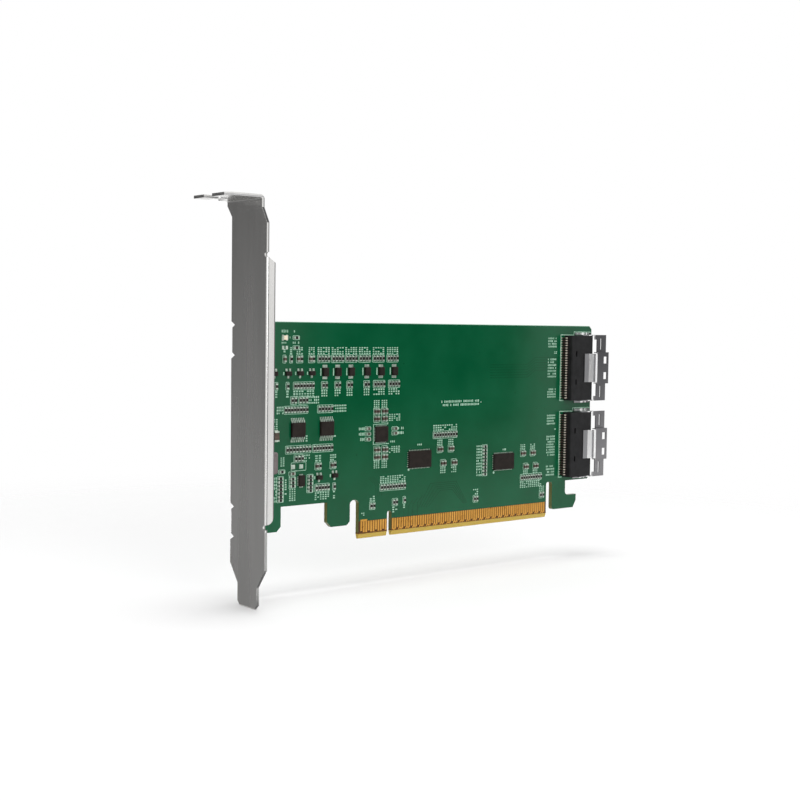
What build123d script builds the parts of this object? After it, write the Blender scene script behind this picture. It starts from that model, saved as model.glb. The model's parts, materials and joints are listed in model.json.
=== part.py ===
# Storage adapter card: a low board that stands upright, with a full-height slot
# bracket at its left end, a gold edge connector below and two cable connectors
# at its right end.
# Frame: X runs along the board away from the bracket, the component side faces -Y
# and Z is up. The origin is on the middle plane of the board (Y = 0), on the centre
# line of the key notch (X = 0) and at the bottom of the gold fingers (Z = 0).
import os

from build123d import *

# How far a cutting shape runs past the face that it cuts
past = 1.0

# Board
board_thickness = 1.57
board_height = 68.9
board_right = 94.9
board_to_bracket = 0.6
board_corner = 1.2
board_lower_corner = 0.85
mask_side = -board_thickness / 2
back_side = board_thickness / 2
base_line = 12.6

# Edge connector
key_width = 1.9
key_top = 8.1
key_radius = 0.86
contact_pitch = 1.0
short_contacts = 11
long_contacts = 71
key_to_contact = 1.5
contact_to_end = 1.1
contact_width = 0.7
contact_thickness = 0.05
contact_bottom = 1.6
contact_height = 3.9
short_contact_cut = 0.8
bevel_height = 1.5
bevel_depth = 0.47
short_end = -(key_to_contact + (short_contacts - 1) * contact_pitch + contact_to_end)
long_end = key_to_contact + (long_contacts - 1) * contact_pitch + contact_to_end

# Tabs below the base line of the board
left_slot = 3.55
stub_width = 8.95
stub_bottom = 4.75
stub_corner = 1.6
stub_inner_corner = 1.2
notch_width = 17.5
tail_bottom = 5.0
tail_corner = 1.5
right_slot = 3.0
hook_neck = 6.85
hook_reach = 5.75
hook_top = 7.3
hook_bottom = 2.5
hook_slant = 1.5
hook_slant_height = 2.6
hook_inner_radius = 1.4
hook_heel_radius = 1.0
left_slot_radius = 1.42
right_slot_radius = 0.9
stub_right = short_end - left_slot
stub_left = stub_right - stub_width
tail_right = stub_left - notch_width
hook_left = long_end + right_slot
hook_step = hook_left + hook_neck
hook_tip = hook_step + hook_reach

# Bracket
sheet = 0.86
bracket_face = -59.05
bracket_width = 18.42
bracket_height = 120.02
bracket_bottom = -15.03
bend_radius = 0.5
tongue_width = 10.19
tongue_far_step = 4.12
taper_top = -2.9
taper_bottom = -8.4
tongue_corner = 1.3
head_shift = 2.54
far_step = (5.6, 2.3)
near_step = (8.0, 3.7)
tab_depth = 11.43
tab_slot_width = 4.42
tab_slot_depth = 6.8
tab_slot_from_far = 5.6
side_notch_width = 3.8
side_notch_depth = 3.65
side_notch_from_end = 4.5
tab_corner = 1.9
fold_radius = 0.7
flange_width = 3.05
flange_bottom = 10.3
flange_below_top = 17.89
flange_corner = 2.4
flange_slope = 1.5
relief_radius = 0.75
relief_inset = 0.3
ear_height = 7.0
ear_length = 9.9
ear_corner = 1.2
ear_from_board_top = 5.6
lower_ear_centre = 9.45
ear_notch = 1.9
ear_notch_half = 1.05
bracket_far = back_side + sheet
bracket_near = bracket_far - bracket_width
bracket_top = bracket_bottom + bracket_height
tab_end = bracket_face - tab_depth
flange_top = bracket_top - flange_below_top
ear_centres = (lower_ear_centre, board_height - ear_from_board_top)
board_left = bracket_face + sheet + board_to_bracket

# Screws through the board into the ears of the bracket
screw_diameter = 2.9
screw_clearance = 0.4
screw_head_diameter = 5.4
screw_head_height = 1.9
screw_head_edge = 0.8
screw_tip_edge = 0.3
screw_past_ear = 0.8
thread_clearance = 0.1
screw_from_face = 5.4
cross_width = 0.7
cross_length = 2.6
cross_depth = 1.0

# Cable connectors
connector_centres = (53.7, 25.9)
housing_length = 23.4
housing_depth = 11.0
housing_height = 4.0
housing_set_back = 3.3
housing_edge = 0.3
mouth_height = 1.5
mouth_margin = 0.7
mouth_depth = 6.8
mouth_lead_in = 0.35
heel_depth = 0.7
heel_height = 1.8
key_hole_length = 2.0
key_hole_width = 0.7
key_hole_depth = 0.6
key_hole_spacing = 10.2
key_hole_from_back = 2.3
tail_count = 25
tail_pitch = 0.9
tail_width = 0.42
tail_thickness = 0.16
tail_height = 2.0
tail_run = 0.9
tail_lean = 0.7
tail_foot = 0.5

# Metal guide shell round the front of each cable connector
shell_sheet = 0.3
shell_side_back = 5.6
shell_foot_front = 2.6
shell_foot_width = 0.8
shell_reach = 6.6
strip_length = 10.3
strip_depth = 4.6
first_rise = 0.9
first_rise_start = -2.2
first_rise_end = -1.1
second_rise = 0.5
second_rise_start = 0.2
second_rise_end = 0.5
raised_length = 11.4
wing_gap = 1.7
wing_heel_gap = 0.5
wing_foot = 1.7
wing_slot_length = 4.0
wing_slot_width = 0.6
wing_slot_place = 2.2
window_length = 2.5
window_width = 1.7
window_spacing = 5.7
window_from_tip = 0.9

# Small chip parts: two end caps and a body between them
chip_length = 1.6
chip_width = 0.8
chip_cap = 0.36
resistor_height = 0.45
capacitor_height = 0.75
row_pitch = 1.2
tight_pitch = 1.12


def solids(parts):
    """Separate solids of one node, kept apart from each other."""
    found = []
    for part in parts:
        found += list(part.solids())
    return Compound(children=found)


def on_board(x, z, width, length, height, lift=0.0):
    """A block on the component side, centred at x and z, standing height proud."""
    y_near = mask_side - lift - height / 2
    return Pos(x, y_near, z) * Box(width, height, length)


def outline_solid(points, thickness):
    """An outline in X and Z, extruded evenly about the middle plane of the board."""
    line = Polyline(*points, close=True)
    face = Plane.XZ * make_face(line)
    return extrude(face, thickness / 2, both=True)


def rounded(solid, axis, places, radius):
    """Rounds the edges that run along an axis through the given X and Z places."""
    chosen = []
    for edge in solid.edges().filter_by(axis):
        centre = edge.center()
        for x, z in places:
            if abs(centre.X - x) < 0.01 and abs(centre.Z - z) < 0.01:
                chosen.append(edge)
    return fillet(chosen, radius)


def make_board():
    outline = [
        (board_left, board_height),
        (board_right - board_corner, board_height),
        (board_right, board_height - board_corner),
        (board_right, base_line + board_lower_corner),
        (board_right - board_lower_corner, base_line),
        (hook_step, base_line),
        (hook_step, hook_top),
        (hook_tip, hook_top),
        (hook_tip, hook_bottom + hook_slant_height),
        (hook_tip - hook_slant, hook_bottom),
        (hook_left, hook_bottom),
        (hook_left, base_line),
        (long_end, base_line),
        (long_end, 0),
        (key_width / 2, 0),
        (key_width / 2, key_top),
        (-key_width / 2, key_top),
        (-key_width / 2, 0),
        (short_end, 0),
        (short_end, base_line),
        (stub_right, base_line),
        (stub_right, stub_bottom + stub_inner_corner),
        (stub_right - stub_inner_corner, stub_bottom),
        (stub_left + stub_corner, stub_bottom),
        (stub_left, stub_bottom + stub_corner),
        (stub_left, base_line),
        (tail_right, base_line),
        (tail_right, tail_bottom + tail_corner),
        (tail_right - tail_corner, tail_bottom),
        (board_left + tail_corner, tail_bottom),
        (board_left, tail_bottom + tail_corner),
    ]
    board = outline_solid(outline, board_thickness)
    key_corners = [(key_width / 2, key_top), (-key_width / 2, key_top)]
    left_corners = [(stub_right, base_line), (short_end, base_line)]
    right_corners = [(hook_left, base_line), (long_end, base_line)]
    for places, radius in (
        ([(hook_step, hook_top)], hook_inner_radius),
        ([(hook_left, hook_bottom)], hook_heel_radius),
        (key_corners, key_radius),
        (left_corners, left_slot_radius),
        (right_corners, right_slot_radius),
    ):
        board = rounded(board, Axis.Y, places, radius)
    board -= edge_bevel(short_end, -key_width / 2)
    board -= edge_bevel(key_width / 2, long_end)
    for z in ear_centres:
        hole = Cylinder((screw_diameter + screw_clearance) / 2, board_thickness * 2, rotation=(90, 0, 0))
        board -= Pos(screw_x(), 0, z) * hole
    return board


def edge_bevel(start, end):
    """The two wedges that thin the fingers towards their bottom edge."""
    edge = board_thickness / 2
    wedges = []
    for side in (-1, 1):
        wedge = Polyline(
            (side * (edge - bevel_depth), 0),
            (side * edge, bevel_height),
            (side * (edge + past), bevel_height),
            (side * (edge + past), -past),
            (side * (edge - bevel_depth), -past),
            close=True,
        )
        face = Pos(start - past / 2, 0, 0) * (Plane.YZ * make_face(wedge))
        wedges.append(extrude(face, end - start + past, dir=(1, 0, 0)))
    return wedges[0] + wedges[1]


def make_contacts(side):
    """Gold contacts of one side; some are shorter, as on any such edge."""
    contacts = []
    places = [-(key_to_contact + i * contact_pitch) for i in range(short_contacts)]
    places += [key_to_contact + i * contact_pitch for i in range(long_contacts)]
    y = side * (back_side + contact_thickness / 2)
    for index, x in enumerate(places):
        bottom = contact_bottom
        if index % 3 == 1:
            bottom += short_contact_cut
        height = contact_bottom + contact_height - bottom
        contact = Box(contact_width, contact_thickness, height)
        contacts.append(Pos(x, y, bottom + height / 2) * contact)
    return solids(contacts)


def screw_x():
    return bracket_face + sheet + screw_from_face


def make_screws():
    """Two pan-head screws with a cross recess, driven from the component side."""
    screws = []
    length = board_thickness + sheet + screw_past_ear
    for z in ear_centres:
        head = Cylinder(screw_head_diameter / 2, screw_head_height)
        head = chamfer(head.edges().sort_by(Axis.Z)[-1], screw_head_edge)
        slot = Box(cross_length, cross_width, cross_depth) + Box(cross_width, cross_length, cross_depth)
        head -= Pos(0, 0, screw_head_height / 2 - cross_depth / 2) * slot
        shank = Cylinder(screw_diameter / 2, length)
        shank = chamfer(shank.edges().sort_by(Axis.Z)[0], screw_tip_edge)
        screw = head + Pos(0, 0, -(screw_head_height + length) / 2) * shank
        place = Pos(screw_x(), mask_side - screw_head_height / 2, z)
        screws.append(place * Rot(90, 0, 0) * screw)
    return solids(screws)


def plate_outline():
    """The stamped outline in Y and Z: head, side step, plate, taper and tongue."""
    far, near = bracket_far, bracket_near
    tongue_far = far - tongue_far_step
    tongue_near = tongue_far - tongue_width
    return [
        (far + head_shift, bracket_top),
        (far + head_shift, bracket_top - far_step[1]),
        (far, bracket_top - far_step[0]),
        (far, taper_top),
        (tongue_far, taper_bottom),
        (tongue_far, bracket_bottom + tongue_corner),
        (tongue_far - tongue_corner, bracket_bottom),
        (tongue_near + tongue_corner, bracket_bottom),
        (tongue_near, bracket_bottom + tongue_corner),
        (tongue_near, taper_bottom),
        (near, taper_top),
        (near, bracket_top - near_step[0]),
        (near + head_shift, bracket_top - near_step[1]),
        (near + head_shift, bracket_top),
    ]


def through_plate(points):
    """A cut through the plate, drawn in Y and Z."""
    face = Plane.YZ * make_face(Polyline(*points, close=True))
    return extrude(Pos(bracket_face - past, 0, 0) * face, sheet + 2 * past, dir=(1, 0, 0))


def fold_edges(bracket, y, low, high):
    """The outer edges of a fold on the plate's outer face, between two heights."""
    return [
        edge for edge in bracket.edges().filter_by(Axis.Z)
        if abs(edge.center().X - bracket_face) < 0.01 and abs(edge.center().Y - y) < 0.01
        and low < edge.center().Z < high
    ]


def make_bracket():
    plate = Pos(bracket_face, 0, 0) * (Plane.YZ * make_face(Polyline(*plate_outline(), close=True)))
    bracket = extrude(plate, sheet, dir=(1, 0, 0))
    tab_middle = bracket_far + head_shift - bracket_width / 2
    tab = Box(tab_depth + sheet, bracket_width, sheet, align=(Align.MIN, Align.CENTER, Align.MAX))
    bracket += Pos(tab_end, tab_middle, bracket_top) * tab
    bracket = rounded(bracket, Axis.Y, [(bracket_face, bracket_top - sheet)], bend_radius)
    bracket = rounded(bracket, Axis.Y, [(bracket_face + sheet, bracket_top)], bend_radius + sheet)
    bracket += near_flange()
    for z in ear_centres:
        bracket += mounting_ear(z)
        for side in (-1, 1):
            tip = z + side * (ear_height / 2 + ear_notch / 2)
            bracket -= through_plate([
                (bracket_far + past, tip - ear_notch_half - past * ear_notch_half / ear_notch),
                (bracket_far - ear_notch, tip),
                (bracket_far + past, tip + ear_notch_half + past * ear_notch_half / ear_notch),
            ])
    for z in (flange_bottom - relief_radius, flange_top + relief_radius):
        relief = Cylinder(relief_radius, sheet + 2 * past, rotation=(0, 90, 0))
        bracket -= Pos(bracket_face + sheet / 2, bracket_near + relief_inset, z) * relief
    bracket -= tab_slot()
    bracket -= side_notch()
    folds = fold_edges(bracket, bracket_near, flange_bottom, flange_top)
    for z in ear_centres:
        folds += fold_edges(bracket, bracket_far, z - ear_height / 2, z + ear_height / 2)
    bracket = fillet(folds, fold_radius)
    near_corner = [
        edge for edge in bracket.edges().filter_by(Axis.Z)
        if abs(edge.center().X - tab_end) < 0.01
        and abs(edge.center().Y - bracket_near - head_shift) < 0.01
    ]
    return chamfer(near_corner, tab_corner)


def near_flange():
    """Stiffening flange along the near edge, folded towards the board."""
    inner = bracket_face + sheet
    tip = bracket_face + flange_width
    shape = Polyline(
        (bracket_face, flange_bottom),
        (tip, flange_bottom),
        (tip, flange_top - flange_slope),
        (inner, flange_top),
        (bracket_face, flange_top),
        close=True,
    )
    face = Pos(0, bracket_near, 0) * (Plane.XZ * make_face(shape))
    flange = extrude(face, sheet, dir=(0, 1, 0))
    flange = rounded(flange, Axis.Y, [(tip, flange_bottom)], flange_corner)
    middle = (flange_bottom + flange_top) / 2
    length = flange_top - flange_bottom
    fold = Pos(inner, bracket_near + sheet, middle) * Box(
        bend_radius, bend_radius, length, align=(Align.MIN, Align.MIN, Align.CENTER))
    round_off = Pos(inner + bend_radius, bracket_near + sheet + bend_radius, middle) * Cylinder(
        bend_radius, length)
    return flange + (fold - round_off)


def mounting_ear(z):
    """Ear folded back from the far edge of the plate, flat against the board."""
    start = bracket_face
    y = back_side + sheet / 2
    ear = Pos(start + ear_length / 2, y, z) * Box(ear_length, sheet, ear_height)
    ear = fillet(ear.edges().filter_by(Axis.Y).group_by(Axis.X)[-1], ear_corner)
    hole = Cylinder((screw_diameter + thread_clearance) / 2, sheet * 3, rotation=(90, 0, 0))
    return ear - Pos(screw_x(), y, z) * hole


def tab_slot():
    """Slot for the case screw, open at the outer end of the tab."""
    radius = tab_slot_width / 2
    centre = bracket_far + head_shift - tab_slot_from_far - radius
    length = tab_slot_depth - radius
    z = bracket_top - sheet / 2
    straight = Pos(tab_end + length, centre, z) * Box(
        length + past, tab_slot_width, sheet + past, align=(Align.MAX, Align.CENTER, Align.CENTER))
    end = Pos(tab_end + length, centre, z) * Cylinder(radius, sheet + past)
    return straight + end


def side_notch():
    """Alignment notch in the far edge of the tab."""
    x = tab_end + side_notch_from_end
    y = bracket_far + head_shift - side_notch_depth
    return Pos(x, y, bracket_top - sheet / 2) * Box(
        side_notch_width, side_notch_depth + past, sheet + past,
        align=(Align.MIN, Align.MIN, Align.CENTER))


def housing_front():
    return board_right - housing_set_back


def housing_back():
    return housing_front() - housing_depth


def make_housing(z):
    """Black housing: a block with a plug slot in front and a heel under the tails."""
    front = housing_front()
    back = housing_back()
    middle = (front + back) / 2
    body = on_board(middle, z, housing_depth, housing_length, housing_height)
    long_edges = body.edges().filter_by(Axis.Z).group_by(Axis.Y)[0]
    body = chamfer(long_edges, housing_edge)
    slot_y = mask_side - housing_height / 2
    slot = Pos(front - mouth_depth / 2, slot_y, z) * Box(
        mouth_depth, mouth_height, housing_length - 2 * mouth_margin)
    body -= slot
    lead = Pos(front, slot_y, z) * Box(
        2 * mouth_lead_in, mouth_height + 2 * mouth_lead_in, housing_length - mouth_margin)
    body -= lead
    for side in (-1, 1):
        hole_x = back + key_hole_from_back
        hole_z = z + side * key_hole_spacing / 2
        top = housing_height - key_hole_depth
        body -= on_board(hole_x, hole_z, key_hole_width, key_hole_length, key_hole_depth, top)
    heel = on_board(back - heel_depth / 2, z, heel_depth, housing_length - 2 * mouth_margin,
                    heel_height)
    return body + heel


def make_tails(z):
    """Contact tails: each leaves the housing, runs back and leans down to its foot."""
    back = housing_back()
    knee = back - tail_run
    toe = knee - tail_lean
    under = mask_side - tail_height
    profile = Polyline(
        (back, under),
        (knee, under),
        (toe + tail_foot, mask_side),
        (toe, mask_side),
        (knee - tail_thickness, under - tail_thickness),
        (back, under - tail_thickness),
        close=True,
    )
    face = make_face(profile)
    first = z - (tail_count - 1) * tail_pitch / 2 - tail_width / 2
    tails = []
    for i in range(tail_count):
        place = Pos(0, 0, first + i * tail_pitch)
        tails.append(extrude(place * face, tail_width, dir=(0, 0, 1)))
    return solids(tails)


def make_shell(z):
    """Stamped guide shell: sides on the board, two wings and a raised latch plate."""
    front = housing_front()
    tip = front + shell_reach
    top = mask_side - housing_height
    wall_length = shell_side_back + wing_gap
    foot_length = shell_side_back + shell_foot_front
    shell = raised_plate(z, top)
    for side in (-1, 1):
        wall_z = z + side * (housing_length + shell_sheet) / 2
        wall = on_board(front - shell_side_back + wall_length / 2, wall_z, wall_length, shell_sheet,
                        housing_height)
        foot_z = z + side * (housing_length / 2 + shell_sheet + shell_foot_width / 2)
        foot = on_board(front - shell_side_back + foot_length / 2, foot_z, foot_length,
                        shell_foot_width, shell_sheet)
        shell += wall + foot + wing(z, side, top, tip)
    return shell


def raised_plate(z, top):
    """Strip on the housing that climbs two steps to the plate with the windows."""
    front = housing_front()
    tip = front + shell_reach
    first = top - first_rise
    second = first - second_rise
    lower = [
        (front - strip_depth, top),
        (front + first_rise_start, top),
        (front + first_rise_end, first),
        (front + second_rise_start, first),
        (front + second_rise_end, second),
        (tip, second),
    ]
    upper = [(x, y - shell_sheet) for x, y in reversed(lower)]
    face = Pos(0, 0, z - strip_length / 2) * make_face(Polyline(*lower, *upper, close=True))
    plate = extrude(face, strip_length, dir=(0, 0, 1))
    plate += Pos(front + second_rise_end, second, z) * Box(
        shell_reach - second_rise_end, shell_sheet, raised_length,
        align=(Align.MIN, Align.MAX, Align.CENTER))
    for side in (-1, 1):
        window = Pos(tip - window_from_tip - window_width / 2, second, z + side * window_spacing / 2)
        plate -= window * Box(window_width, 2 * past, window_length)
    return plate


def wing(z, side, top, tip):
    """Side wing in front of the housing, with a slot, a heel and a riser to the plate."""
    start = housing_front() + wing_gap
    outer = housing_length / 2 + shell_sheet
    inner = raised_length / 2 - shell_sheet
    middle = z + side * (outer + inner) / 2
    level = top - shell_sheet / 2
    plate = Pos((start + tip) / 2, level, middle) * Box(tip - start, shell_sheet, outer - inner)
    heel_length = wing_gap - wing_heel_gap
    plate += Pos(start - heel_length / 2, level, z + side * (outer - wing_foot / 2)) * Box(
        heel_length, shell_sheet, wing_foot)
    plate -= Pos(start + wing_slot_place, level, middle) * Box(
        wing_slot_width, 2 * past, wing_slot_length)
    riser_start = housing_front() + second_rise_end
    riser = Pos(riser_start, top, z + side * (inner + shell_sheet / 2)) * Box(
        tip - riser_start, first_rise + second_rise + shell_sheet, shell_sheet,
        align=(Align.MIN, Align.MAX, Align.CENTER))
    return plate + riser


# Heights of the rows above the fingers; the upper ones keep their share of the board
lamp_row = 0.93 * board_height
row_a = 0.836 * board_height
row_b = 0.772 * board_height
row_c = 0.716 * board_height
row_d = 0.652 * board_height
row_e = 0.61 * board_height
logic_row = 0.521 * board_height
row_f = 0.433 * board_height
row_g = 0.392 * board_height
inductor_row = 0.383 * board_height
row_h = 0.353 * board_height
column_top = 0.309 * board_height
driver_row = 0.292 * board_height
row_j = 0.254 * board_height

# Centres of the chips that the small parts stand round
signal_centres = ((12.4, 24.3), (50.8, 21.4))
controller_centre = (-3.9, 33.2)

# Rows of chips that stand upright side by side: first X, height, how many, pitch
resistor_rows = (
    (-39.3, row_a, 1, row_pitch), (-35.5, row_a, 1, row_pitch), (-31.0, row_a, 1, row_pitch),
    (-28.8, row_a, 4, row_pitch), (-23.4, row_a, 4, row_pitch), (-18.1, row_a, 4, row_pitch),
    (-12.7, row_a, 4, row_pitch), (-7.1, row_a, 4, row_pitch), (-1.3, row_a, 4, row_pitch),
    (-44.6, row_c, 1, row_pitch), (-40.5, row_c, 1, row_pitch), (-37.8, row_c, 7, tight_pitch),
    (-27.2, row_c, 2, row_pitch), (-22.1, row_c, 2, row_pitch), (-17.4, row_c, 2, row_pitch),
    (-10.6, row_c, 2, row_pitch), (-6.7, row_c, 4, row_pitch), (-0.5, row_c, 4, row_pitch),
    (-38.8, row_d, 2, row_pitch), (-35.8, row_d, 3, row_pitch),
    (-41.2, row_e, 8, tight_pitch), (-28.6, row_e, 5, row_pitch),
    (-40.5, row_f, 8, row_pitch), (-30.4, row_f, 7, tight_pitch),
    (-37.3, row_g, 3, row_pitch), (-28.1, row_h, 1, row_pitch), (-22.4, row_h, 1, row_pitch),
    (-29.4, row_j, 5, tight_pitch), (-22.5, row_j, 1, row_pitch),
    (18.9, 31.9, 9, row_pitch), (-3.5, 15.9, 9, row_pitch), (59.9, 15.0, 9, row_pitch),
    (6.2, 11.1, 1, row_pitch), (1.7, 10.7, 2, tight_pitch), (-7.7, 10.2, 2, tight_pitch),
    (37.4, 9.2, 2, row_pitch), (69.6, 8.3, 2, row_pitch),
)

# Columns of chips that lie along X, stacked downwards: X, first height, how many, pitch
lamp_pitch = 3.05
resistor_columns = (
    (-37.4, lamp_row, 2, lamp_pitch), (-42.4, column_top + 2.0, 1, row_pitch),
    (-42.9, column_top, 7, tight_pitch), (-38.4, column_top - 0.4, 3, tight_pitch),
    (-31.8, column_top, 5, tight_pitch), (42.0, 27.0, 9, row_pitch),
)
capacitor_rows = (
    (-41.7, row_a, 1), (-36.7, row_a, 1), (-32.2, row_a, 1), (-29.4, row_h, 1), (-23.6, row_h, 1),
)
capacitor_column = (-38.6, column_top + 1.2, 1, row_pitch)

# Pairs of capacitors, as offsets from the chip that they belong to
controller_pairs = ((-2.5, 7.4), (0.7, 7.4), (-2.5, 5.0), (0.7, 5.0),
                    (-2.3, -5.0), (0.9, -5.0), (-2.3, -7.4), (0.9, -7.4))
controller_columns = ((-5.4, 2.0, 3, 1.7), (5.7, 1.6, 2, 1.5))
signal_pairs = ((8.4, 2.8), (13.3, 2.8), (9.9, -2.0), (14.8, -2.0))
signal_pair_shifts = ((0, 0), (0.6, -0.5))


def chips_in_row(x, z, count, pitch=row_pitch):
    """Chips that stand side by side along X, each with its length upright."""
    return [(x + i * pitch, z, True) for i in range(count)]


def chips_in_column(x, z, count, pitch=row_pitch):
    """Chips stacked downwards from z, each with its length along X."""
    return [(x, z - i * pitch, False) for i in range(count)]


def resistor_places():
    places = []
    for row in resistor_rows:
        places += chips_in_row(*row)
    for column in resistor_columns:
        places += chips_in_column(*column)
    return places


def capacitor_places():
    places = chips_in_column(*capacitor_column)
    for row in capacitor_rows:
        places += chips_in_row(*row)
    x, z = controller_centre
    for across, up in controller_pairs:
        places += chips_in_row(x + across, z + up, 2)
    for across, up, count, pitch in controller_columns:
        places += chips_in_column(x + across, z + up, count, pitch)
    for (x, z), (shift_x, shift_z) in zip(signal_centres, signal_pair_shifts):
        for across, up in signal_pairs:
            places += chips_in_row(x + across + shift_x, z + up + shift_z, 2)
    return places


def make_chip_bodies(places, height):
    bodies = []
    inner = chip_length - 2 * chip_cap
    for x, z, upright in places:
        if upright:
            bodies.append(on_board(x, z, chip_width, inner, height))
        else:
            bodies.append(on_board(x, z, inner, chip_width, height))
    return solids(bodies)


def make_chip_caps(places, height):
    caps = []
    offset = (chip_length - chip_cap) / 2
    for x, z, upright in places:
        for side in (-1, 1):
            if upright:
                caps.append(on_board(x, z + side * offset, chip_width, chip_cap, height))
            else:
                caps.append(on_board(x + side * offset, z, chip_cap, chip_width, height))
    return solids(caps)


# Small-outline logic chips
logic_centres = ((-36.7, logic_row), (-25.8, logic_row))
logic_width = 5.0
logic_length = 4.4
logic_lift = 0.1
logic_height = 0.95
logic_leads = 8
logic_lead_pitch = 0.65
logic_lead_width = 0.27
logic_span = 6.6
lead_thickness = 0.15
lead_foot = 0.6

# Small transistors
transistor_centres = (
    (-45.4, row_b), (-40.3, row_b), (-35.9, row_b), (-31.5, row_b),
    (-28.4, driver_row + 0.6), (-22.4, driver_row + 0.9))
transistor_width = 2.1
transistor_length = 1.35
transistor_height = 0.85
transistor_lead_width = 0.4
transistor_lead_pitch = 1.3
transistor_lead_height = 0.3
transistor_span = 2.5

# Diodes
diode_row = row_b + 0.3
diode_centres = tuple((x, diode_row) for x in (-26.5, -21.6, -16.4, -10.0, -4.3, 1.2))
diode_width = 2.0
diode_length = 2.7
diode_height = 1.1
diode_tab_width = 1.5
diode_tab_length = 0.65
diode_tab_thickness = 0.25

# Flat chips, whose terminals are on their undersides
signal_width = 9.6
signal_length = 5.6
flat_chip_height = 0.85
controller_size = 5.0
driver_centre = (-35.2, driver_row)
driver_width = 2.2
driver_length = 3.4

# Larger two-terminal parts at the left end
ceramic_centre = (-44.9, logic_row - 1.6)
ceramic_width = 1.6
ceramic_length = 3.2
ceramic_height = 1.2
ceramic_cap = 0.5
inductor_centre = (-48.9, inductor_row)
inductor_size = 6.6
inductor_height = 3.0
inductor_round = 0.8
inductor_edge = 0.3
inductor_pad_length = 1.2
inductor_pad_width = 4.0
inductor_pad_thickness = 0.2
led_centre = (-41.6, lamp_row)
led_length = 1.9
led_width = 1.3
led_height = 0.6
led_cap = 0.35
led_cap_height = 0.42
moulded_edge = 0.15


def chip_body(x, z, width, length, height, lift=0.0):
    """A moulded chip body with its upper edges broken."""
    body = on_board(x, z, width, length, height, lift)
    return chamfer(body.faces().sort_by(Axis.Y)[0].edges(), moulded_edge)


def logic_lead(x, z, side):
    """A lead of a logic chip: out of the body, then down to its foot on the board."""
    rise = logic_lift + logic_height / 2 - lead_thickness
    near = logic_length / 2
    toe = logic_span / 2
    knee = toe - lead_foot
    profile = [
        (near, rise),
        (knee - lead_thickness, rise),
        (knee, 0),
        (toe, 0),
        (knee, rise + lead_thickness),
        (near, rise + lead_thickness),
    ]
    points = [(mask_side - height, z + side * out) for out, height in profile]
    face = Plane.YZ * make_face(Polyline(*points, close=True))
    return extrude(Pos(x - logic_lead_width / 2, 0, 0) * face, logic_lead_width, dir=(1, 0, 0))


def make_logic_chips():
    bodies = []
    for x, z in logic_centres:
        bodies.append(chip_body(x, z, logic_width, logic_length, logic_height, logic_lift))
    return solids(bodies)


def make_logic_leads():
    leads = []
    for x, z in logic_centres:
        first = x - (logic_leads - 1) * logic_lead_pitch / 2
        for i in range(logic_leads):
            for side in (-1, 1):
                leads.append(logic_lead(first + i * logic_lead_pitch, z, side))
    return solids(leads)


def make_transistors():
    bodies = []
    for x, z in transistor_centres:
        bodies.append(chip_body(x, z, transistor_width, transistor_length, transistor_height))
    return solids(bodies)


def make_transistor_leads():
    """Two leads above and one below each transistor."""
    leads = []
    reach = (transistor_span - transistor_length) / 2
    offset = transistor_length / 2 + reach / 2
    for x, z in transistor_centres:
        for lead_x, side in ((-transistor_lead_pitch / 2, 1), (transistor_lead_pitch / 2, 1), (0, -1)):
            leads.append(on_board(x + lead_x, z + side * offset, transistor_lead_width, reach,
                                  transistor_lead_height))
    return solids(leads)


def make_diodes():
    bodies = []
    for x, z in diode_centres:
        bodies.append(chip_body(x, z, diode_width, diode_length, diode_height))
    return solids(bodies)


def make_diode_tabs():
    tabs = []
    offset = (diode_length + diode_tab_length) / 2
    for x, z in diode_centres:
        for side in (-1, 1):
            tabs.append(on_board(x, z + side * offset, diode_tab_width, diode_tab_length,
                                 diode_tab_thickness))
    return solids(tabs)


def make_signal_chip(centre):
    return chip_body(*centre, signal_width, signal_length, flat_chip_height)


def make_controller():
    return chip_body(*controller_centre, controller_size, controller_size, flat_chip_height)


def make_driver():
    return chip_body(*driver_centre, driver_width, driver_length, flat_chip_height)


def make_ceramic_body():
    return on_board(*ceramic_centre, ceramic_width, ceramic_length - 2 * ceramic_cap, ceramic_height)


def make_ceramic_caps():
    offset = (ceramic_length - ceramic_cap) / 2
    x, z = ceramic_centre
    caps = []
    for side in (-1, 1):
        caps.append(on_board(x, z + side * offset, ceramic_width, ceramic_cap, ceramic_height))
    return solids(caps)


def make_inductor():
    x, z = inductor_centre
    body = on_board(x, z, inductor_size, inductor_size, inductor_height - inductor_pad_thickness,
                    inductor_pad_thickness)
    body = fillet(body.edges().filter_by(Axis.Y), inductor_round)
    return chamfer(body.faces().sort_by(Axis.Y)[0].edges(), inductor_edge)


def make_inductor_pads():
    x, z = inductor_centre
    offset = (inductor_size - inductor_pad_length) / 2
    pads = []
    for side in (-1, 1):
        pads.append(on_board(x, z + side * offset, inductor_pad_width, inductor_pad_length,
                             inductor_pad_thickness))
    return solids(pads)


def make_led():
    return on_board(*led_centre, led_length - 2 * led_cap, led_width, led_height)


def make_led_caps():
    x, z = led_centre
    offset = (led_length - led_cap) / 2
    caps = []
    for side in (-1, 1):
        caps.append(on_board(x + side * offset, z, led_cap, led_width, led_cap_height))
    return solids(caps)


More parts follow.
